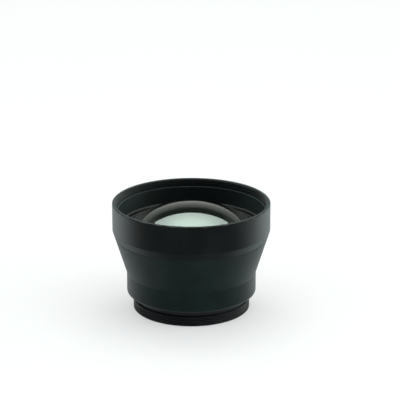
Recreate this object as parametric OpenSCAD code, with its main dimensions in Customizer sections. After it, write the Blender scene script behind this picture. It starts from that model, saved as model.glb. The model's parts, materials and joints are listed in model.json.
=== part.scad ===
// Tele conversion lens: a turned barrel with a wide front and a narrow rear thread.
// The lens stands on its rear thread. Z runs along the optical axis towards the front glass.
// The two threads set the widths. The front glasses are placed from the rim and the rear cell
// from the rear barrel's inner flange, and the baffle fills the height between them.

/* [Barrel] */
// Height from the rear thread's end to the front rim
total_h = 48.9; // [42:0.1:60]
// Height of the straight front band
front_band_h = 12.3; // [9:0.1:15]
// Width of the rear shoulder, from the rear thread out to the lower band
shoulder_w = 2.85; // [2.3:0.05:5]
// Height of the lower band, from the shoulder to the cone
lower_band_h = 9.6; // [6:0.1:12]
// Radius of the rounded edge under the lower band
lower_edge_r = 1.2; // [0.4:0.1:2]
// Bevel on the rim's outer edge
rim_bevel = 0.3; // [0.1:0.05:0.6]
// Metal left in the front barrel between the seal's pocket and the seam
seam_web = 0.5; // [0.4:0.05:0.8]
// Wall of the front barrel's threaded skirt, which enters the rear barrel
skirt_wall = 1.1; // [0.9:0.05:1.4]
// Bevel on both barrels' outer edges at the seam
seam_bevel = 0.15; // [0.05:0.05:0.25]

/* [Front opening] */
// Nominal diameter of the filter thread, to which the solid is bored
filter_thread_d = 67; // [58:0.5:78]
// Thickness of the rim, from the filter thread outwards
rim_wall = 1.5; // [1.2:0.05:2.2]
// Length of the full filter thread, which ends above the glass
filter_thread_len = 1; // [0.8:0.05:1.6]
// Bevel at the thread's mouth
thread_lead = 0.15; // [0.05:0.05:0.3]
// Depth of the relief groove behind the filter thread
filter_relief_cut = 0.45; // [0.35:0.05:0.6]
// Depth of the ledge below the rim, where the thread ends
ledge_depth = 3.5; // [2.8:0.1:5]
// Width of that ledge
ledge_w = 0.9; // [0.6:0.05:1.2]
// Bevel on the ledge's inner edge
ledge_bevel = 0.15; // [0.05:0.05:0.25]
// How much the plain wall narrows from the ledge to the retaining ring
wall_taper = 0.4; // [0.1:0.05:0.7]

/* [Front retaining ring] */
// Width of the ring's face
ring_face_w = 3.05; // [2.2:0.05:3.6]
// How much lower the face lies at its inner edge
ring_slope = 0.6; // [0.2:0.05:1]
// Height of the ring's bore above the glass
ring_lip = 0.95; // [0.8:0.05:1.8]
// Bevel on both top edges of the ring
ring_bevel = 0.15; // [0.05:0.05:0.25]
// Width of the two spanner slots
ring_slot_w = 2.2; // [1.5:0.1:3]
// Length of the spanner slots across the face
ring_slot_len = 2; // [1.2:0.1:2.5]
// Depth of the spanner slots
ring_slot_h = 0.7; // [0.3:0.05:0.85]
// Width of the pocket round the glass, where the sealing ring lies
pocket_w = 1.6; // [1.2:0.05:2]

/* [Front element] */
// Depth of the glass's highest point below the rim
apex_depth = 1.2; // [1:0.05:4]
// How far the front surface bulges above the glass's edge
front_bulge = 12.3; // [10:0.05:14]
// Thickness at the edge
front_edge_t = 2.8; // [2.3:0.1:4]
// How deep the rear surface is hollow
front_hollow = 3.45; // [2.2:0.05:4.5]
// Width of the flat ground edge on the rear surface
front_flat_w = 2; // [1:0.1:3]

/* [Cemented pair] */
// Least wall between the pair and the outside of the lower band
pair_wall = 1.3; // [1:0.1:4]
// How much narrower the pair is than the front element, on the radius
pair_step = 3.1; // [2:0.1:8]
// How far the crown's front surface bulges
crown_bulge = 3.6; // [2:0.05:4.6]
// Thickness of the crown at its edge
crown_edge_t = 1.2; // [0.8:0.05:3]
// How far the cemented surface bulges
cement_bulge = 2.2; // [1:0.05:4]
// Thickness of the flint on the axis
flint_t = 1.5; // [1:0.1:3]
// How deep the flint's rear surface is hollow
flint_hollow = 1; // [0.4:0.05:2]
// Width of the seat that carries the flint
pair_seat_w = 1.5; // [1:0.1:3]
// Height of the spacer ring between the crown's edge and the front element
spacer_h = 1.9; // [1.6:0.1:3]
// How far the spacer ring reaches inwards over the crown
spacer_lap = 1.3; // [0.8:0.1:2]
// Height of the spacer ring's flange under the front element
spacer_flange_h = 1.2; // [0.8:0.1:1.5]

/* [Baffle] */
// Wall of the baffle tube at its mouth
baffle_wall = 1.4; // [0.8:0.1:2]
// Width of the light stop that shows inside the tube's narrow end
baffle_ledge_w = 1.5; // [0.5:0.1:4]
// Number of light-trap steps
baffle_steps = 6; // [3:1:8]
// Height of the lock ring over the baffle
lock_ring_h = 1.2; // [0.8:0.1:1.6]
// Width of the lock ring's face
lock_ring_w = 1.1; // [0.8:0.1:1.4]
// Thickness of the light stop
stop_t = 0.4; // [0.2:0.05:0.8]
// How much smaller the stop's hole is than the rear elements, on the radius
stop_lap = 1; // [0.2:0.1:3]

/* [Rear group] */
// Wall of the rear cell round the rear ring
cell_wall = 2.6; // [1:0.1:3.5]
// How far the cell's threaded neck steps in from its outside
cell_step = 1.15; // [0.8:0.05:1.5]
// Bevel on the cell's rear edge
cell_bevel = 0.2; // [0.1:0.05:0.4]
// Thickness of the adjusting shim on the cell's shoulder
shim_t = 0.3; // [0.1:0.05:0.6]
// Height of the lip that stops the rear elements
cell_lip_h = 0.8; // [0.5:0.1:1.2]
// Width of that lip, and of the flat edges that meet it
cell_lip_w = 1.4; // [1:0.1:2]
// How deep the negative element's front surface is hollow
negative_hollow = 1.8; // [0.8:0.05:2.4]
// Thickness of the negative element on the axis
negative_t = 1.6; // [1:0.1:2]
// How far the cemented surface in the rear pair bulges
rear_cement_bulge = 1.6; // [0.8:0.05:2.2]
// Thickness of the rear meniscus on the axis
meniscus_t = 2.2; // [1.7:0.1:2.8]
// How deep the meniscus's rear surface is hollow
meniscus_hollow = 0.7; // [0.3:0.05:1.2]
// How much larger the rear ring is than the rear elements, on the radius
rear_ring_step = 0.5; // [0.3:0.05:0.8]
// Height of the rear retaining ring
rear_ring_h = 1.2; // [0.9:0.1:2]
// Width of the rear retaining ring's face
rear_ring_w = 2.1; // [1.6:0.1:2.8]
// How far the rear retaining ring sits inside the cell's end
rear_ring_inset = 0.3; // [0.1:0.05:1]
// Width of the rear ring's spanner slots
rear_slot_w = 1.6; // [1:0.1:2.4]
// Depth of the rear ring's spanner slots
rear_slot_h = 0.5; // [0.3:0.05:0.6]

/* [Rear mount] */
// Outer diameter of the rear thread
rear_thread_d = 51.9; // [44:0.05:60]
// Length of the rear thread
rear_thread_len = 4.4; // [3.2:0.1:6]
// Bevel on both ends of the rear thread
rear_thread_bevel = 0.3; // [0.1:0.05:0.5]
// Height of the relief groove between the thread and the shoulder
relief_h = 2.9; // [2:0.1:4]
// Depth of the relief groove
relief_cut = 1.05; // [0.6:0.05:1.3]
// Wall left inside the relief groove
neck_wall = 1.1; // [0.8:0.05:2]
// Thickness of the ring's ledge under the rear barrel's flange, which the screws clamp
ledge_t = 4; // [3.2:0.1:4.8]
// Depth of the socket in the rear barrel that takes the mount ring
spigot_h = 2; // [1.5:0.1:2.6]
// Thickness of the rear barrel's inner flange
flange_t = 4; // [3.2:0.1:5]

/* [Screws] */
// Number of mount screws
screw_count = 4; // [3:1:6]
// Shank diameter
screw_d = 1.6; // [1.2:0.1:2]
// Head diameter
screw_head_d = 2.6; // [2.2:0.1:3]
// Head height
screw_head_h = 0.8; // [0.5:0.1:1.2]
// Metal left on both sides of the screw heads
screw_margin = 0.3; // [0.2:0.05:0.6]
// Metal left above the tip of each screw
screw_floor = 1; // [0.6:0.1:1.6]

/* [Clearances] */
// Radial room between a turned piece and its bore
fit = 0.05; // [0.02:0.01:0.1]
// Room between two curved faces that seat on each other
curve_gap = 0.05; // [0.02:0.01:0.1]
// Thickness of the cement between two glasses
cement_t = 0.02; // [0.01:0.01:0.04]
// Room round the rear cell and the screws, so that both can be turned
cell_room = 0.15; // [0.1:0.05:0.3]
// Room between the lock ring and the cemented pair
lock_room = 0.3; // [0.2:0.05:1]
// Room left at ends that don't seat
end_gap = 0.1; // [0.05:0.01:0.2]

/* [Hidden] */
$fn = 96;
eps = 0.01;
past = 1;

// Radius of a spherical surface that rises h over a circle of radius x
function surface_r(x, h) = (x * x + h * h) / (2 * h);

// Radii of the front opening, from the filter thread outwards and inwards
filter_thread_r = filter_thread_d / 2;
front_r = filter_thread_r + rim_wall;
ledge_r = filter_thread_r - ledge_w;
ring_seat_r = ledge_r - wall_taper;
front_glass_r = ring_seat_r - pocket_w;
ring_r = ring_seat_r - fit;
ring_bore_r = ring_r - ring_face_w;
skirt_r = front_glass_r + fit + skirt_wall;

// Radii of the rear end, from the rear thread outwards and inwards
rear_thread_r = rear_thread_d / 2;
lower_r = rear_thread_r + shoulder_w;
neck_r = rear_thread_r - relief_cut;
recess_r = neck_r - neck_wall;
cell_bore_r = recess_r - screw_head_d - cell_room - 2 * screw_margin;
cell_r = cell_bore_r - cell_room;
cell_neck_r = cell_r - cell_step;
rear_ring_r = cell_neck_r - cell_wall - fit;
rear_glass_r = rear_ring_r - rear_ring_step;
rear_clear_r = rear_glass_r - cell_lip_w;
stop_r = rear_glass_r - stop_lap;

// The cemented pair fits inside the lower band and behind the front element
pair_r = min(lower_r - pair_wall, front_glass_r - pair_step);
pair_clear_r = pair_r + fit - pair_seat_w;
baffle_r = pair_clear_r - fit;

// Heights from the rear end to the light stop
shoulder_z = rear_thread_len + relief_h;
cone_z = shoulder_z + lower_band_h;
band_z = total_h - front_band_h;
flange_z = shoulder_z + spigot_h;
flange_top_z = flange_z + flange_t;
stop_top_z = flange_top_z + stop_t;
recess_z = flange_z - ledge_t;

// Heights of the glass surfaces on the axis and at their edges, from the rim down
apex_z = total_h - apex_depth;
front_edge_z = apex_z - front_bulge;
front_flat_z = front_edge_z - front_edge_t;
front_rear_z = front_flat_z + front_hollow;
crown_edge_z = front_flat_z - spacer_h;
crown_z = crown_edge_z + crown_bulge;
cement_z = crown_edge_z - crown_edge_t - cement_bulge;
flint_z = cement_z - flint_t;
flint_seat_z = flint_z - flint_hollow;
pair_mouth_z = front_flat_z - spacer_flange_h - end_gap;
lock_top_z = flint_seat_z - lock_room;
baffle_top_z = lock_top_z - lock_ring_h;

// Surface radii of the front group
front_surface_r = surface_r(front_glass_r, front_bulge);
front_rear_surface_r = surface_r(front_glass_r - front_flat_w, front_hollow);
crown_surface_r = surface_r(pair_r, crown_bulge);
cement_surface_r = surface_r(pair_r, cement_bulge);
flint_surface_r = surface_r(pair_clear_r, flint_hollow);

// Heights of the front retaining ring, which follows the glass, and of the seal's pocket
ring_glass_z = apex_z - front_surface_r
    + sqrt(pow(front_surface_r + curve_gap, 2) - ring_bore_r * ring_bore_r);
ring_inner_z = ring_glass_z + ring_lip;
ring_top_z = ring_inner_z + ring_slope;
ring_bottom_z = front_edge_z + end_gap;
seal_r = pocket_w / 2 - fit;
seal_mid_r = front_glass_r + pocket_w / 2;
pocket_z = front_edge_z - 2 * seal_r;

// The seam between the two barrels lies on the cone, below the seal's pocket
seam_z = pocket_z - seam_web;
cone_slope = (front_r - lower_r) / (band_z - cone_z);
seam_r = lower_r + cone_slope * (seam_z - cone_z);

// Heights of the rear group, which hangs from the rear barrel's flange
cell_top_z = flange_top_z - end_gap;
cell_shoulder_z = flange_z - shim_t;
rear_seat_z = cell_top_z - cell_lip_h;
negative_z = rear_seat_z - negative_hollow;
rear_cement_z = negative_z - negative_t;
meniscus_z = rear_cement_z - meniscus_t;
meniscus_flat_z = meniscus_z - meniscus_hollow;
rear_ring_z = meniscus_flat_z - rear_ring_h;
cell_z = rear_ring_z - rear_ring_inset;

// Surface radii of the rear group
negative_front_r = surface_r(rear_clear_r, negative_hollow);
rear_cement_r = surface_r(rear_glass_r, rear_cement_bulge);
meniscus_rear_r = surface_r(rear_clear_r, meniscus_hollow);

// The screws stand in the ledge between the recess and the rear cell
screw_circle_r = (recess_r + cell_bore_r) / 2;
screw_seat_z = recess_z + screw_head_h + end_gap;
screw_tip_z = flange_top_z - screw_floor;

black = [0.11, 0.13, 0.13];
dull_black = [0.06, 0.06, 0.06];
glass = [0.55, 0.70, 0.66, 0.5];

// A turned piece: its half section, drawn with X as the radius and Y as the height
module turned() {
    rotate_extrude() children();
}

// Half of a disc in section, centred on the axis: the inside of a spherical surface
module ball_section(ball_r, centre_z) {
    intersection() {
        translate([0, centre_z]) circle(r = ball_r, $fn = 360);
        translate([0, centre_z - ball_r]) square([ball_r, 2 * ball_r]);
    }
}

// A rectangle in section, from one radius to another and one height to another
module band_section(inner_r, outer_r, low_z, high_z) {
    translate([inner_r, low_z]) square([outer_r - inner_r, high_z - low_z]);
}

// Repeats its children at the mount screws
module at_screws() {
    for (i = [0 : screw_count - 1])
        rotate([0, 0, 45 + i * 360 / screw_count])
            translate([screw_circle_r, 0, 0]) children();
}

// Front barrel: rim, filter thread, plain wall, the seats of ring and glass, and the skirt
module front_barrel() {
    color(black)
    turned() polygon([
        [skirt_r, pair_mouth_z + end_gap], [skirt_r, seam_z], [seam_r - seam_bevel, seam_z],
        [seam_r + cone_slope * seam_bevel, seam_z + seam_bevel],
        [front_r, band_z], [front_r, total_h - rim_bevel],
        [front_r - rim_bevel, total_h], [filter_thread_r + thread_lead, total_h],
        [filter_thread_r, total_h - thread_lead],
        [filter_thread_r, total_h - thread_lead - filter_thread_len],
        [filter_thread_r + filter_relief_cut,
            total_h - thread_lead - filter_thread_len - filter_relief_cut / 2],
        [filter_thread_r + filter_relief_cut, total_h - ledge_depth],
        [ledge_r + ledge_bevel, total_h - ledge_depth],
        [ledge_r, total_h - ledge_depth - ledge_bevel], [ring_seat_r, ring_top_z],
        [ring_seat_r, pocket_z], [front_glass_r + fit, pocket_z],
        [front_glass_r + fit, pair_mouth_z + end_gap]
    ]);
}

// Rear barrel: the socket for the skirt, the cone, the lower band and the inner flange
module rear_barrel() {
    color(black)
    difference() {
        turned() difference() {
            polygon([
                [neck_r + fit, shoulder_z], [lower_r, shoulder_z], [lower_r, cone_z],
                [seam_r - cone_slope * seam_bevel, seam_z - seam_bevel],
                [seam_r - seam_bevel, seam_z],
                [skirt_r + fit, seam_z], [skirt_r + fit, pair_mouth_z],
                [pair_r + fit, pair_mouth_z],
                [pair_r + fit, flint_seat_z], [pair_clear_r, flint_seat_z],
                [pair_clear_r, flange_top_z], [cell_neck_r + fit, flange_top_z],
                [cell_neck_r + fit, flange_z], [neck_r + fit, flange_z]
            ]);
            difference() {
                band_section(lower_r - lower_edge_r, lower_r + eps,
                    shoulder_z - eps, shoulder_z + lower_edge_r);
                translate([lower_r - lower_edge_r, shoulder_z + lower_edge_r])
                    circle(r = lower_edge_r);
            }
        }
        at_screws() translate([0, 0, flange_z - eps])
            cylinder(d = screw_d + 2 * fit, h = screw_tip_z - flange_z + end_gap + eps);
    }
}

// Dark ring over the glass: a face that falls inwards, a seat shaped to the glass, two slots
module front_retaining_ring() {
    bevel_rise = ring_bevel * ring_slope / ring_face_w;
    color(dull_black)
    difference() {
        turned() difference() {
            polygon([
                [ring_bore_r, ring_bottom_z], [ring_r, ring_bottom_z],
                [ring_r, ring_top_z - ring_bevel], [ring_r - ring_bevel, ring_top_z - bevel_rise],
                [ring_bore_r + ring_bevel, ring_inner_z + bevel_rise],
                [ring_bore_r, ring_inner_z - ring_bevel]
            ]);
            ball_section(front_surface_r + curve_gap, apex_z - front_surface_r);
        }
        for (turn = [90, 270])
            rotate([0, 0, turn])
                translate([ring_bore_r - past, -ring_slot_w / 2, ring_inner_z - ring_slot_h])
                    cube([past + ring_slot_len, ring_slot_w, ring_slope + ring_slot_h + past]);
    }
}

// Rubber ring in the pocket round the front glass
module front_sealing_ring() {
    color([0.05, 0.05, 0.05])
    turned() translate([seal_mid_r, pocket_z + seal_r]) circle(r = seal_r, $fn = 32);
}

// Bulging front glass: a meniscus with a flat ground edge behind
module front_element() {
    color(glass)
    turned() difference() {
        intersection() {
            ball_section(front_surface_r, apex_z - front_surface_r);
            band_section(0, front_glass_r, front_flat_z, total_h);
        }
        ball_section(front_rear_surface_r, front_rear_z - front_rear_surface_r);
    }
}

// Ring that sets the distance between the front glass and the cemented pair: a flange and a skirt
module front_spacer() {
    color(dull_black)
    turned() difference() {
        union() {
            band_section(pair_r - spacer_lap, front_glass_r,
                pair_mouth_z + end_gap, front_flat_z);
            band_section(pair_r - spacer_lap, pair_r, crown_edge_z, front_flat_z);
        }
        ball_section(crown_surface_r + curve_gap, crown_z - crown_surface_r);
    }
}

// Front glass of the cemented pair, bulging on both sides
module crown_element() {
    color(glass)
    turned() intersection() {
        ball_section(crown_surface_r, crown_z - crown_surface_r);
        ball_section(cement_surface_r, cement_z + cement_surface_r);
        band_section(0, pair_r, cement_z, crown_z);
    }
}

// Rear glass of the cemented pair, hollow on both sides, with a flat edge on its seat
module flint_element() {
    color(glass)
    turned() difference() {
        band_section(0, pair_r, flint_seat_z, cement_z + cement_bulge - cement_t);
        ball_section(cement_surface_r + cement_t, cement_z + cement_surface_r);
        ball_section(flint_surface_r, flint_z - flint_surface_r);
    }
}

// Threaded ring that holds the baffle down
module baffle_lock_ring() {
    color(dull_black)
    difference() {
        turned() band_section(baffle_r - lock_ring_w, baffle_r, baffle_top_z, lock_top_z);
        for (turn = [0, 180])
            rotate([0, 0, turn])
                translate([baffle_r - lock_ring_w - eps, -rear_slot_w / 2,
                    lock_top_z - lock_ring_h / 2])
                    cube([lock_ring_w + past, rear_slot_w, lock_ring_h]);
    }
}

// Stepped tube that traps stray light between the two groups
module baffle_tube() {
    step_h = (baffle_top_z - stop_top_z) / baffle_steps;
    mouth_r = baffle_r - baffle_wall;
    exit_r = stop_r + baffle_ledge_w;
    step_w = (mouth_r - exit_r) / (baffle_steps - 1);
    color(dull_black)
    turned() difference() {
        band_section(0, baffle_r, stop_top_z, baffle_top_z);
        for (i = [0 : baffle_steps - 1])
            band_section(-eps, exit_r + i * step_w,
                stop_top_z + i * step_h - eps, baffle_top_z + eps);
    }
}

// Thin washer on the rear barrel's flange, under the baffle
module light_stop() {
    color(dull_black)
    turned() band_section(stop_r, baffle_r, flange_top_z, stop_top_z);
}

// Cell of the rear group, with a threaded neck and a shoulder for the shim
module rear_cell() {
    color(black)
    turned() polygon([
        [rear_ring_r + fit, cell_z], [cell_r - cell_bevel, cell_z],
        [cell_r, cell_z + cell_bevel], [cell_r, cell_shoulder_z],
        [cell_neck_r, cell_shoulder_z], [cell_neck_r, cell_top_z],
        [rear_clear_r, cell_top_z], [rear_clear_r, rear_seat_z],
        [rear_glass_r + fit, rear_seat_z], [rear_glass_r + fit, meniscus_flat_z],
        [rear_ring_r + fit, meniscus_flat_z]
    ]);
}

// Brass shim that sets the distance between the two groups
module adjusting_shim() {
    color("goldenrod")
    turned() band_section(cell_neck_r + 2 * fit, cell_r, cell_shoulder_z, flange_z);
}

// Negative glass of the rear pair, hollow on both sides
module negative_element() {
    color(glass)
    turned() difference() {
        band_section(0, rear_glass_r, rear_cement_z - rear_cement_bulge, rear_seat_z);
        ball_section(rear_cement_r, rear_cement_z - rear_cement_r);
        ball_section(negative_front_r, negative_z + negative_front_r);
    }
}

// Rear glass of the rear pair: a meniscus with a flat ground edge behind
module rear_meniscus() {
    color(glass)
    turned() difference() {
        intersection() {
            ball_section(rear_cement_r - cement_t, rear_cement_z - rear_cement_r);
            band_section(0, rear_glass_r, meniscus_flat_z, rear_cement_z);
        }
        ball_section(meniscus_rear_r, meniscus_z - meniscus_rear_r);
    }
}

// Threaded ring that holds the rear pair in its cell
module rear_retaining_ring() {
    ring_bore = rear_ring_r - rear_ring_w;
    color(dull_black)
    difference() {
        turned() band_section(ring_bore, rear_ring_r, rear_ring_z, meniscus_flat_z);
        for (turn = [0, 180])
            rotate([0, 0, turn])
                translate([ring_bore - eps, -rear_slot_w / 2, rear_ring_z - past])
                    cube([rear_ring_w + past, rear_slot_w, rear_slot_h + past]);
    }
}

// Rear ring: the thread, its relief groove, the recess and the spigot in the rear barrel
module rear_mount_ring() {
    bevel = rear_thread_bevel;
    color(black)
    difference() {
        turned() polygon([
            [recess_r + bevel / 2, 0], [rear_thread_r - bevel, 0], [rear_thread_r, bevel],
            [rear_thread_r, rear_thread_len - bevel], [rear_thread_r - bevel, rear_thread_len],
            [neck_r, rear_thread_len], [neck_r, flange_z], [cell_bore_r, flange_z],
            [cell_bore_r, recess_z], [recess_r, recess_z], [recess_r, bevel / 2]
        ]);
        at_screws() {
            cylinder(d = screw_d + cell_room, h = flange_z + eps);
            cylinder(d = screw_head_d + cell_room, h = screw_seat_z);
        }
    }
}

// Cheese-head screws with a cross recess, from the recess into the rear barrel's flange
module mount_screws() {
    recess_w = screw_d / 4;
    color("dimgray")
    at_screws() difference() {
        union() {
            translate([0, 0, screw_seat_z - screw_head_h])
                cylinder(d = screw_head_d, h = screw_head_h);
            translate([0, 0, screw_seat_z - eps])
                cylinder(d = screw_d, h = screw_tip_z - screw_seat_z + eps);
        }
        for (turn = [0, 90])
            rotate([0, 0, turn])
                translate([-screw_d / 2, -recess_w / 2, screw_seat_z - screw_head_h - eps])
                    cube([screw_d, recess_w, screw_head_h / 2 + eps]);
    }
}

front_barrel();
front_retaining_ring();
front_sealing_ring();
front_element();
front_spacer();
crown_element();
flint_element();
baffle_lock_ring();
baffle_tube();
light_stop();
rear_barrel();
rear_cell();
adjusting_shim();
negative_element();
rear_meniscus();
rear_retaining_ring();
rear_mount_ring();
mount_screws();
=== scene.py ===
# %% [markdown]
# # A tele conversion lens
# The object is a turned black barrel that stands on its narrow rear thread. The wide front opening
# faces up and holds a strongly bulging front glass. The solids come from the CAD frame, and this
# lesson adds what the frame leaves out: the fine threads, the finishes, the light and the camera.

import json
import math

import bpy
import numpy as np
from mathutils import Matrix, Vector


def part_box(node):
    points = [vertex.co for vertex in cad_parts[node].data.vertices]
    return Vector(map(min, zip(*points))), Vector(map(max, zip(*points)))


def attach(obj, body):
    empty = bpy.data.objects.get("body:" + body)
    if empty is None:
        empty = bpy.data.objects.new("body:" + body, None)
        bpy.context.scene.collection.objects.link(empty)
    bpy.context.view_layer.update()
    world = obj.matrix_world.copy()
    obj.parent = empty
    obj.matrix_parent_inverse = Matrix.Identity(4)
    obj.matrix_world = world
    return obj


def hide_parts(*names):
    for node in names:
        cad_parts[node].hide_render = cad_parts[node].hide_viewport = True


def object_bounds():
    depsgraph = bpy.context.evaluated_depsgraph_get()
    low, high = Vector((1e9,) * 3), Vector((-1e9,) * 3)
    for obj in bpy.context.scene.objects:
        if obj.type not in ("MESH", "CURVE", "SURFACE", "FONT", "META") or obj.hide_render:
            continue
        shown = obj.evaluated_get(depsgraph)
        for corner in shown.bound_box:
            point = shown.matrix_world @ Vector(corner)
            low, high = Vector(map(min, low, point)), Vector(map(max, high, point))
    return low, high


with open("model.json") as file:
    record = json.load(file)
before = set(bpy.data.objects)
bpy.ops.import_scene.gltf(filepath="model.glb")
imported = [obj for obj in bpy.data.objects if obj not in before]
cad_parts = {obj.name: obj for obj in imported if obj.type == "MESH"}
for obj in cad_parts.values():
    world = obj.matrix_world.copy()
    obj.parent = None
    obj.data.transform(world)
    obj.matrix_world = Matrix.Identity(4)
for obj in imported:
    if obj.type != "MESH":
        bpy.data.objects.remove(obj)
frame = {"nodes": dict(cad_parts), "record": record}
cad_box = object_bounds()
mounts = {m["name"]: m for m in frame["record"]["mounts"]}
MM = 0.001
print("CAD nodes:", len(frame["nodes"]), "box:", [round(v / MM, 2) for v in cad_box[1]])

# %% [markdown]
# ## Calculating with sockets
# A finish is a formula on the place of a point on the surface. Nodes could be wired one by one, but
# a formula is easier to read as a Python expression. So one small class wraps a socket, and each
# operator on it adds the Math node that it stands for.

# %% A socket that Python can calculate with


class Wire:
    """A shader socket. An operator on it adds one Math node and gives that node's output."""

    def __init__(self, socket):
        self.socket = socket
        self.tree = socket.id_data

    def math(self, operation, *values):
        return add(self.tree, "ShaderNodeMath", {"operation": operation}, *values)

    def __add__(self, other):
        return self.math("ADD", self, other)

    def __sub__(self, other):
        return self.math("SUBTRACT", self, other)

    def __rsub__(self, other):
        return self.math("SUBTRACT", other, self)

    def __mul__(self, other):
        return self.math("MULTIPLY", self, other)

    def __truediv__(self, other):
        return self.math("DIVIDE", self, other)

    __radd__, __rmul__ = __add__, __mul__

    def root(self):
        return self.math("SQRT", self)

    def wave(self):
        return self.math("SINE", self)

    def step(self, low, high):
        """0 below low and 1 above high, with a smooth change between them; high may be the lower one."""
        turned = low > high
        ends = {"From Min": min(low, high), "From Max": max(low, high),
                "To Min": float(turned), "To Max": float(not turned)}
        return add(self.tree, "ShaderNodeMapRange", {"interpolation_type": "SMOOTHSTEP"}, Value=self, **ends)


def add(tree, kind, settings=None, *values, output=0, **named):
    """Adds one node: its type, its settings, then the values or links of its sockets. None leaves a
    socket as it is. Gives back one of the node's outputs."""
    node = tree.nodes.new(kind)
    for key, value in (settings or {}).items():
        setattr(node, key, value)
    for key, value in [*enumerate(values), *((k.replace("_", " "), v) for k, v in named.items())]:
        if isinstance(value, Wire):
            tree.links.new(value.socket, node.inputs[key])
        elif value is not None:
            node.inputs[key].default_value = value
    return Wire(node.outputs[output]) if node.outputs else node


def blend_colour(tree, share, *colours):
    """A colour between two: the first where share is 0, and the second where it is 1. A Mix node keeps
    its colour sockets in the seventh and eighth place, and its colour output in the third."""
    first, second = (c if isinstance(c, Wire) else (*c, 1) for c in colours)
    return add(tree, "ShaderNodeMix", {"data_type": "RGBA"}, share, None, None, None, None, None,
               first, second, output=2)


print("sockets can be added, subtracted, multiplied and divided")

# %% [markdown]
# ## Places on a turned part
# Every piece here was made on a lathe, so a finish follows the radius from the axis and the height.
# Both come from Object coordinates, which are metres in the frame of the CAD. Working in millimetres
# keeps the numbers the same as a drawing's.

# %% Start a finish


class Finish:
    """A material with one Principled surface, and the places that its formulas read."""

    def __init__(self, name, **constants):
        self.name = name
        self.material = bpy.data.materials.new(name + "_finish")
        self.material.use_nodes = True
        self.tree = self.material.node_tree
        self.tree.nodes.clear()
        self.surface = add(self.tree, "ShaderNodeBsdfPrincipled", {}, **constants)
        self.out = add(self.tree, "ShaderNodeOutputMaterial", {}, self.surface)
        self.place = add(self.tree, "ShaderNodeTexCoord", output="Object")
        self.x, self.y, self.z = (self.part(i) / MM for i in range(3))
        self.radius = (self.x * self.x + self.y * self.y).root()

    def part(self, index):
        return add(self.tree, "ShaderNodeSeparateXYZ", {}, self.place, output=index)

    def noise(self, scale, detail=3.0, stretch=(1, 1, 1)):
        """Smooth noise with about scale lumps per metre, drawn out along an axis by stretch."""
        at = add(self.tree, "ShaderNodeMapping", {}, self.place, Scale=stretch)
        return add(self.tree, "ShaderNodeTexNoise", {}, Vector=at, Scale=scale, Detail=detail)

    def turning(self, pitch):
        """The lathe tool's fine rings, from -1 to 1, one ring each pitch millimetres of radius and height."""
        return ((self.radius * 0.83 + self.z) * (math.tau / pitch)).wave()

    def feed(self, **named):
        """Links what varies over the surface to the Principled node."""
        for key, value in named.items():
            self.tree.links.new(value.socket, self.surface.socket.node.inputs[key.replace("_", " ")])

    def cover(self, share, shader):
        """Shows another shader over the surface where share is 1."""
        socket = self.out.inputs["Surface"]
        mixed = add(self.tree, "ShaderNodeMixShader", {}, share, Wire(socket.links[0].from_socket), shader)
        self.tree.links.new(mixed.socket, socket)

    def low_angle(self, start, end):
        """0 where the surface faces the eye and 1 where it is seen at a low angle."""
        return add(self.tree, "ShaderNodeLayerWeight", {}, 0.5, output="Facing").step(start, end)

    def bump(self, height, depth):
        """A Bump node on a height from 0 to 1 that is depth millimetres deep."""
        self.feed(Normal=add(self.tree, "ShaderNodeBump", {}, Strength=1.0, Distance=depth * MM, Height=height))


print("a finish reads its place in millimetres")

# %% [markdown]
# ## Black anodised barrel
# The barrel is aluminium with a satin black oxide. It looks almost black where it faces the eye and
# turns grey towards its outline. Two things do that. A clear layer over the oxide mirrors more at a
# low angle, and the etched surface scatters a grey bloom there. One shiny surface could do both, but
# then its front would be too bright. Fine tool rings, a cloudy roughness and a thin wear line on the
# rim keep it from looking like plastic.

# %% The barrel's finish
top = cad_box[1].z / MM
rim_r = cad_box[1].x / MM
seam_z, band_z = 36.6, 16.9
well_r, root_edge_r = 33.6, 33.25
ledge_z, thread_foot_z = 45.15, 45.55


def black_oxide(name, colour, index, roughness, gloss):
    """Satin black oxide: base colour and roughness drift with noise, and tool rings tilt the normal.
    gloss is the clear layer's share at a low angle, and the taper, turned in a pass of its own, has half."""
    f = Finish(name, **{"IOR": index, "Coat IOR": 1.5, "Coat Roughness": 0.22})
    cloud = f.noise(90, 4)
    streak = f.noise(700, 2, (0.05, 0.05, 1))
    rings = f.turning(0.16)
    lighter = tuple(c * 1.7 + 0.002 for c in colour)
    f.feed(Base_Color=blend_colour(f.tree, cloud.step(0.35, 0.75) * 0.8, colour, lighter),
           Roughness=roughness + (cloud - 0.5) * 0.12 + (streak - 0.5) * 0.08)
    taper = f.z.step(seam_z + 0.1, seam_z - 0.1) * f.z.step(band_z - 0.1, band_z + 0.1)
    f.feed(Coat_Weight=f.low_angle(0.18, 0.6) * (1 - taper * 0.5) * (gloss + (streak - 0.5) * 0.3))
    f.bump(rings * 0.5 + streak, 0.0016)
    return f


def bloom(f, share):
    """The grey bloom of an etched oxide, seen where share is 1."""
    f.cover(share, add(f.tree, "ShaderNodeBsdfDiffuse", {}, (0.09, 0.13, 0.13, 1)))


def lighten(f, share, colour):
    """Blends another colour into a finish where share is 1."""
    base = f.surface.socket.node.inputs["Base Color"].links[0].from_socket
    f.feed(Base_Color=blend_colour(f.tree, share, Wire(base), colour))


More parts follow.
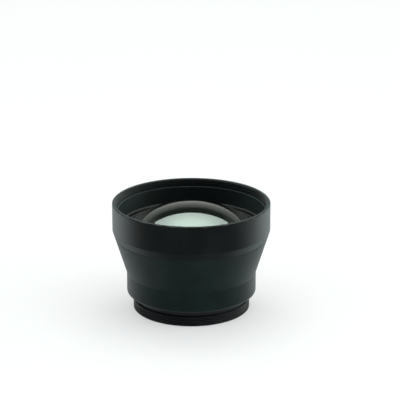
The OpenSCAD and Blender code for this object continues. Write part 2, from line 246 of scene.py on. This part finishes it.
front_barrel = black_oxide("black_front_barrel", (0.0025, 0.0045, 0.0047), 1.18, 0.42, 0.8)
inside = front_barrel.radius.step(well_r + 0.1, well_r - 0.1) * front_barrel.z.step(37.5, 37.8)
# painted light: the walls inside the opening get a lighter base colour than the outside, for light that falls on
# them
lighten(front_barrel, inside, (0.006, 0.0085, 0.009))
# painted shade: the grey bloom inside fades out in the roots of the thread, so they stay dark
roots = (front_barrel.radius.step(root_edge_r, root_edge_r + 0.15)
         * front_barrel.z.step(thread_foot_z - 0.05, thread_foot_z + 0.05))
bloom(front_barrel, (1 - inside) * front_barrel.low_angle(0.25, 0.95) * 0.65
      + inside * (1 - roots * 0.9) * front_barrel.low_angle(0.05, 0.45) * 0.22)
wear = front_barrel.radius.step(rim_r - 0.42, rim_r - 0.2) * front_barrel.z.step(top - 0.4, top - 0.15)
lighten(front_barrel, wear * front_barrel.noise(260, 3).step(0.4, 0.7) * 0.5, (0.09, 0.1, 0.1))
# painted highlight: the narrow ledge below the thread gets a lighter colour and a grey bloom, for the light it
# catches
ledge = (front_barrel.radius.step(32.95, 32.8) * front_barrel.z.step(ledge_z - 0.05, ledge_z + 0.05)
         * front_barrel.z.step(thread_foot_z + 0.05, thread_foot_z - 0.05))
lighten(front_barrel, ledge, (0.025, 0.03, 0.03))
bloom(front_barrel, ledge * front_barrel.low_angle(0.15, 0.7))
rear_barrel = black_oxide("black_barrel", (0.0014, 0.0082, 0.008), 1.21, 0.4, 0.2)
bloom(rear_barrel, rear_barrel.low_angle(0.35, 0.95) * 0.3)
mount = black_oxide("black_mount", (0.009, 0.0105, 0.0125), 1.25, 0.36, 0.3)
bloom(mount, mount.low_angle(0.25, 0.95) * 0.2)
print("made", front_barrel.material.name, "and", rear_barrel.material.name, "and", mount.material.name)

# %% [markdown]
# ## Blackened inner rings
# The retaining rings and the baffle are dull black, so that they throw no light into the picture. A
# fine grain stands for the blasted surface. The ring over the front glass has painted light: its upper
# face, which faces the lamps, is a little lighter, and the lips beside its groove carry painted highlights.

# %% The inner rings, rubber and screws


def dull_black(name, colour, roughness, grain):
    """Dull black: a fine grain lifts the base colour a little and roughens the surface."""
    f = Finish(name, **{"IOR": 1.45, "Specular IOR Level": 0.3})
    fleck = f.noise(grain, 2)
    f.feed(Base_Color=blend_colour(f.tree, fleck.step(0.45, 0.7), colour, tuple(c * 1.9 for c in colour)),
           Roughness=roughness + (fleck - 0.5) * 0.2)
    f.bump(fleck, 0.012)
    return f


ring_finish = dull_black("matte_black_ring", (0.006, 0.007, 0.007), 0.55, 2600)
# painted light: the upper face gets a lighter colour, and the lips beside the groove a painted highlight
face = ring_finish.z.step(37.5, 37.65)
lighten(ring_finish, face, (0.035, 0.04, 0.036))
lips = ring_finish.radius.step(31.2, 31.4) + ring_finish.radius.step(28.8, 28.9)
lighten(ring_finish, face * lips, (0.08, 0.088, 0.085))
rubber = dull_black("black_rubber", (0.008, 0.008, 0.008), 0.7, 1800)
print("made", ring_finish.material.name, "and", rubber.material.name)

# %% [markdown]
# ## Bare metals
# The shim is rolled brass and the screws are blackened steel. Both are metal with nothing over it, so
# the colour is the mirror image's own. A stain that darkens the colour also dulls the shine.

# %% Brass and blackened steel


def metal(name, colour, roughness, pitch):
    """Bare metal: stained patches have 0.6 of the colour and are 0.15 rougher, and tool rings tilt the
    normal."""
    f = Finish(name, Metallic=1.0)
    stain = f.noise(320, 4).step(0.4, 0.75)
    f.feed(Base_Color=blend_colour(f.tree, stain, colour, tuple(c * 0.6 for c in colour)),
           Roughness=roughness + stain * 0.15)
    f.bump(f.turning(pitch) * 0.5, 0.002)
    return f


brass = metal("brass_shim", (0.7, 0.52, 0.22), 0.3, 0.1)
screw_steel = metal("black_screw_steel", (0.05, 0.05, 0.052), 0.32, 0.08)
print("made", brass.material.name, "and", screw_steel.material.name)

# %% [markdown]
# ## Coated glass
# A lens element is polished glass with a thin coating, which tints its mirror image green. Here a
# clear layer with a high index gives the front glass that image. Towards its edge a grey diffuse veil
# is a painted reflection of the grey that the glass mirrors there. The faces of a cemented pair touch
# without air, and the coated rear of the front glass throws almost nothing back. Plain glass there
# would mirror the light inside and turn the black depth grey. So these faces let the view pass
# straight on, and only the ground edge is a dull surface.

# %% The glass finishes


def lens_glass(name, tint, sheen, level):
    """Polished glass: a haze varies its tint and its slight roughness, and sheen tints its mirror image.
    level scales how much the glass itself mirrors; the clear layer is fed where it is wanted."""
    f = Finish(name, **{"IOR": 1.5, "Transmission Weight": 1.0, "Specular Tint": sheen,
                        "Specular IOR Level": level, "Coat IOR": 2.1, "Coat Roughness": 0.0})
    haze = f.noise(140, 3)
    f.feed(Base_Color=blend_colour(f.tree, haze.step(0.3, 0.8), tint, tuple(min(1, c * 1.04) for c in tint)),
           Roughness=0.012 + haze * 0.006)
    return f


rear_face_z, cement_z, edge_r = 36.5, 30.6, 28.4
pass_on = (0.8, 0.86, 0.84, 1)
coated = lens_glass("coated_glass", (0.75, 0.82, 0.79), (0.45, 1.0, 0.72, 1), 1.0)
front_face = coated.z.step(rear_face_z - 0.1, rear_face_z + 0.1)
coated.feed(Coat_Weight=front_face)
# painted reflection: a grey diffuse layer towards the edge of the front glass, for the grey that the glass
# mirrors there
painted_reflection_veil = front_face * coated.radius.step(14, 26) * (0.22 + (coated.noise(70, 2) - 0.5) * 0.2)
coated.cover(painted_reflection_veil, add(coated.tree, "ShaderNodeBsdfDiffuse", {}, (0.2, 0.215, 0.2, 1)))
behind = coated.z.step(rear_face_z + 0.1, rear_face_z - 0.1)
coated.cover(behind, add(coated.tree, "ShaderNodeBsdfTransparent", {}, pass_on))
ground = add(coated.tree, "ShaderNodeBsdfDiffuse", {}, (0.02, 0.022, 0.021, 1))
coated.cover(behind * coated.radius.step(edge_r, edge_r + 0.15), ground)
# a cemented face is two glasses without air between them, so it bends and mirrors nothing
clear = lens_glass("clear_glass", (0.8, 0.84, 0.83), (0.5, 1.0, 0.8, 1), 0.04)
cemented = clear.z.step(cement_z + 0.05, cement_z)
clear.cover(cemented, add(clear.tree, "ShaderNodeBsdfTransparent", {}, pass_on))
print("made", coated.material.name, "and", clear.material.name)

# %% [markdown]
# ## Finishes onto the CAD pieces
# The record says which finish each node takes. A CAD piece keeps its mesh, and only its material
# slot is filled.

# %% Give each node its finish
finishes = {f.name: f.material for f in
            (front_barrel, rear_barrel, mount, ring_finish, rubber, brass, screw_steel, coated, clear)}
for part in frame["record"]["subparts"]:
    node = frame["nodes"][part["node"]]
    node.data.materials.clear()
    node.data.materials.append(finishes[part["material_slot"]])

# %% [markdown]
# ## The filter thread
# The opening has a fine thread between the rim and the first ledge. It could be a bump in the
# finish, but it is seen at a low angle, where its crests stand before each other. So it is a real
# surface: a closed ring, whose inner face rises and falls along a helix.

# %% A ring that is closed both ways


def closed_ring(name, radius, height):
    """A surface on a grid of turn angle and section step, closed both ways.
    radius and height are arrays of shape (angles, steps), in millimetres."""
    turns, steps = radius.shape
    angle = np.linspace(0, math.tau, turns, endpoint=False)[:, None]
    points = np.stack([radius * np.cos(angle), radius * np.sin(angle), height], -1).reshape(-1, 3) * MM
    i, j = np.meshgrid(np.arange(turns), np.arange(steps), indexing="ij")
    ahead, up = (i + 1) % turns, (j + 1) % steps
    faces = np.stack([i * steps + j, ahead * steps + j, ahead * steps + up, i * steps + up], -1).reshape(-1, 4)
    mesh = bpy.data.meshes.new(name)
    mesh.from_pydata(points.tolist(), [], faces.tolist())
    mesh.shade_smooth()
    piece = bpy.data.objects.new(name, mesh)
    bpy.context.scene.collection.objects.link(piece)
    return piece


def vee(turn):
    """A thread's section: 0 at the root and 1 at the crest, with straight flanks and small flats.
    It is a triangle wave of the turn, stretched and cut off at both ends."""
    rise = 1 - np.abs(np.mod(turn, 1) * 2 - 1)
    return np.clip(rise * 1.3 - 0.15, 0, 1)


print("a ring takes a radius and a height for each turn angle")

# %% The thread in the opening
thread_length = 3.42
thread = mounts["front_filter_thread"]
root_r = thread["dims"]["r_mm"]
thread_top = thread["pos_m"][2] / MM + thread["dims"]["length_mm"] / 2
thread_low = top - thread_length
pitch, depth = 0.75, 0.36
turns, steps = 288, 60
angle = np.linspace(0, math.tau, turns, endpoint=False)[:, None]
level = np.linspace(thread_low, thread_top, steps)[None, :]
fade = np.clip((level - thread_low) / 0.25, 0, 1) * np.clip((thread_top - level) / 0.25, 0, 1)
inner = root_r - 0.01 - depth * fade * vee(level / pitch - angle / math.tau)
back_r = np.full((turns, steps), root_r + 0.02)
back_z = np.broadcast_to(level, (turns, steps))
front_thread = closed_ring("front_thread", np.hstack([inner, back_r[:, ::-1]]),
                           np.hstack([back_z, back_z[:, ::-1]]))
front_thread.data.materials.append(front_barrel.material)
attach(front_thread, "root")
print("front_thread faces:", len(front_thread.data.polygons))

# %% [markdown]
# ## The grooved retaining ring
# The ring over the front glass has a dark groove between two lips, and its inner lip reaches in to the
# glass. The groove could be a dark stripe in the finish, but a stripe keeps its tone under any light
# and casts no shadow. So this piece carries the ring's whole section round, with the groove cut in,
# and it stands for the CAD's plainer ring.

# %% The ring's section, carried round
ring_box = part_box("front_retaining_ring")
ring_r, ring_foot = ring_box[1].x / MM, ring_box[0].z / MM
ball_r, ball_z = 44.25, 3.5
lap_r = np.linspace(28.9, math.sqrt(ball_r ** 2 - (ring_foot - ball_z) ** 2), 8)
lap = np.stack([lap_r, ball_z + np.sqrt(ball_r ** 2 - lap_r ** 2)], -1)
section = np.array([(ring_r, ring_foot), (ring_r, 38.2), (32.0, 38.33), (31.55, 38.27), (31.45, 38.17),
                    (31.4, 36.9), (29.45, 36.9), (29.4, 37.75), (29.3, 37.84), (29.0, 37.78), *lap.tolist()])
turns = 720
angle = np.linspace(0, math.tau, turns, endpoint=False)[:, None]
radius = np.repeat(section[None, :, 0], turns, 0)
height = np.repeat(section[None, :, 1], turns, 0)
slot = (np.abs(radius * np.cos(angle)) < 1.1) & (radius < 31.1) & (height > 37.08)
height = np.where(slot, np.minimum(height, 37.08), height)
ring_piece = closed_ring("grooved_retaining_ring", radius, height)
ring_piece.data.set_sharp_from_angle(angle=math.radians(25))
ring_piece.data.materials.append(ring_finish.material)
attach(ring_piece, "root")
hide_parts("front_retaining_ring")
print("grooved_retaining_ring faces:", len(ring_piece.data.polygons))

# %% [markdown]
# ## The rear thread
# The rear ring screws into the camera's lens by a thread on its outside, cut into the ring. The CAD
# keeps a plain cylinder there. The piece here takes the CAD ring's own mesh, leaves out the faces of
# that cylinder, and closes the place with a cut helix, so that everything else stays as it was.

# %% Swap the plain cylinder for a cut thread
ring = frame["nodes"]["rear_mount_ring"].data
co = np.empty(len(ring.vertices) * 3)
ring.vertices.foreach_get("co", co)
co = co.reshape(-1, 3) / MM
ring.calc_loop_triangles()
tri = np.empty(len(ring.loop_triangles) * 3, np.int64)
ring.loop_triangles.foreach_get("vertices", tri)
tri = tri.reshape(-1, 3)
rear = mounts["rear_thread"]
crest_r = rear["dims"]["r_mm"]
rear_low = rear["pos_m"][2] / MM - rear["dims"]["length_mm"] / 2
rear_high = rear_low + rear["dims"]["length_mm"]
far_out = np.abs(np.hypot(co[:, 0], co[:, 1]) - crest_r) < 0.01
on_band = far_out & (co[:, 2] > rear_low - 0.05) & (co[:, 2] < rear_high + 0.05)
kept = tri[~on_band[tri].all(1)]
print("faces of the plain cylinder left out:", len(tri) - len(kept))

# %% The cut thread
turns, steps = 288, 66
angle = np.linspace(0, math.tau, turns, endpoint=False)[:, None]
level = np.linspace(rear_low, rear_high, steps)[None, :]
fade = np.clip((level - rear_low) / 0.3, 0, 1) * np.clip((rear_high - level) / 0.3, 0, 1)
radius = crest_r - depth * fade * (1 - vee(level / pitch - angle / math.tau))
band = np.stack([radius * np.cos(angle), radius * np.sin(angle), np.broadcast_to(level, radius.shape)], -1)
i, j = np.meshgrid(np.arange(turns), np.arange(steps - 1), indexing="ij")
ahead = (i + 1) % turns
quads = np.stack([i * steps + j, ahead * steps + j, ahead * steps + j + 1, i * steps + j + 1], -1).reshape(-1, 4)
mesh = bpy.data.meshes.new("threaded_mount_ring")
mesh.from_pydata((np.vstack([co, band.reshape(-1, 3)]) * MM).tolist(), [],
                 kept.tolist() + (quads + len(co)).tolist())
mesh.validate()
mesh.shade_smooth()
mesh.set_sharp_from_angle(angle=math.radians(25))
rear_thread = bpy.data.objects.new("threaded_mount_ring", mesh)
bpy.context.scene.collection.objects.link(rear_thread)
mesh.materials.append(mount.material)
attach(rear_thread, "root")
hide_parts("rear_mount_ring")
print("threaded_mount_ring faces:", len(mesh.polygons))

# %% [markdown]
# ## Floor
# The lens stands on a white table that runs out of view. The floor is a plain white surface that
# takes the lens's soft shadow. For the camera, and in metal and glass, about half of it glows. So it
# renders as white as paper does in a studio picture, the shadow stays, and the object gets no more
# light.

# %% A white table


def looked_at(tree):
    """1 for what the camera sees, itself or in metal or glass, and 0 for the light that falls on things."""
    eye, mirror, glass = (add(tree, "ShaderNodeLightPath", output=f"Is {kind} Ray")
                          for kind in ("Camera", "Glossy", "Transmission"))
    return add(tree, "ShaderNodeMath", {"operation": "ADD", "use_clamp": True}, eye + mirror, glass)


side = 2.5
corners = [(-side, -side, 0), (side, -side, 0), (side, side, 0), (-side, side, 0)]
floor_mesh = bpy.data.meshes.new("floor")
floor_mesh.from_pydata(corners, [], [(0, 1, 2, 3)])
floor = bpy.data.objects.new("floor", floor_mesh)
bpy.context.scene.collection.objects.link(floor)
paper = bpy.data.materials.new("paper")
paper.use_nodes = True
tree = paper.node_tree
tree.nodes.clear()
matt = add(tree, "ShaderNodeBsdfDiffuse", {}, Color=(0.9, 0.945, 0.95, 1))
glow = add(tree, "ShaderNodeEmission", {}, Color=(0.99, 1, 1, 1), Strength=1.0)
mixed = add(tree, "ShaderNodeMixShader", {}, looked_at(tree) * 0.48, matt, glow)
add(tree, "ShaderNodeOutputMaterial", {}, mixed)
floor_mesh.materials.append(paper)
print("floor side:", 2 * side, "m")

# %% [markdown]
# ## Light
# A large soft box hangs above and behind the lens, and the glass shows it as a white field. A wide
# fill lamp beside it, over the lens, keeps the shadow on the table soft. One bigger box could light the
# table too, but the glass would show all of it and lose its dark ring. The room around the lamps is
# calm: a pale ceiling above the box, pale walls at the sides, which give the barrel its grey outline,
# and a dull backdrop. It is dark behind the camera, and that keeps the barrel's front dark. The camera
# itself sees white all round, and metal and glass see white at the table's far edge.

# %% The soft boxes


LAMP_HEIGHT = 1.0


def soft_box(name, aside, half, near, far, radiance):
    """A level lamp. It spans near to far in Y, and half to each side of aside in X. Its power is
    pi times its area times its radiance."""
    lamp = bpy.data.lights.new(name, "AREA")
    lamp.shape = "RECTANGLE"
    lamp.size, lamp.size_y = 2 * half, far - near
    lamp.energy = math.pi * lamp.size * lamp.size_y * radiance
    holder = bpy.data.objects.new(name, lamp)
    holder.location = (aside, (far + near) / 2, LAMP_HEIGHT)
    bpy.context.scene.collection.objects.link(holder)
    print(name, "power:", round(lamp.energy, 2), "W")


soft_box("soft_box", 0.0, 0.63, 0.3, 1.05, 1.85)
soft_box("front_fill", 0.2, 1.5, -0.75, 0.2, 1.5)

# %% [markdown]
# ## The room's light
# The world is a formula on direction, with x to the right, y away from the camera and z up. Each part
# of the room is one term, so that its light can be changed by itself.

# %% The room
world = bpy.data.worlds.new("room")
bpy.context.scene.world = world
world.use_nodes = True
tree = world.node_tree
tree.nodes.clear()
toward = add(tree, "ShaderNodeTexCoord", output="Generated")
x, y, z = (add(tree, "ShaderNodeSeparateXYZ", {}, toward, output=k) for k in range(3))
ceiling = z.step(0.64, 1.0) * y.step(0.05, 0.35) * 2.3
walls = z.step(0.3, 0.0) * x * x * 0.8 + z.step(0.7, 0.2) * x.step(0.5, 0.95) * 2.1 + 0.03
backdrop = z.step(0.54, 0.4) * y.step(-0.5, 0.2) * (0.42 - z * 0.6)
room = ceiling + walls + backdrop
table_edge = looked_at(tree) * z.step(0.06, 0.0)
eye_ray = add(tree, "ShaderNodeLightPath", output="Is Camera Ray")
white = eye_ray.math("MAXIMUM", eye_ray, table_edge)
strength = room + white * (1 - room)
shade = blend_colour(tree, white, (1, 0.99, 0.93), (1, 1, 1))
sky = add(tree, "ShaderNodeBackground", {}, Color=shade, Strength=strength)
add(tree, "ShaderNodeOutputWorld", {}, sky)
print("room nodes:", len(tree.nodes))

# %% [markdown]
# ## Camera
# The photograph looks down at the lens by 20 degrees from about 0.8 m away through a long lens. The
# lens in the picture sits a little left of and below the middle, so the camera aims past it instead
# of shifting its film.

# %% The camera
away_m, down = 0.826618, 0.34804
focal_px = 1854.02
target = np.array([0, 0, 0.025])
eye = target + away_m * np.array([0, -math.cos(down), math.sin(down)])
forward = np.array([0, math.cos(down), -math.sin(down)])
right = np.array([1.0, 0, 0])
upward = np.cross(right, forward)
aim = forward + right * (200 - 191.273) / focal_px + upward * (252.535 - 200) / focal_px
aim /= np.linalg.norm(aim)
side_axis = np.cross(aim, (0, 0, 1))
side_axis /= np.linalg.norm(side_axis)
over = np.cross(side_axis, aim)
camera_data = bpy.data.cameras.new("camera")
camera_data.sensor_width = 36
camera_data.lens = focal_px / 400 * 36
camera = bpy.data.objects.new("camera", camera_data)
turned = np.eye(4)
turned[:3, 0], turned[:3, 1], turned[:3, 2], turned[:3, 3] = side_axis, over, -aim, eye
camera.matrix_world = Matrix(turned.tolist())
bpy.context.scene.collection.objects.link(camera)
bpy.context.scene.camera = camera
bpy.context.scene.view_settings.view_transform = "Standard"
print("camera lens:", round(camera_data.lens, 1), "mm")
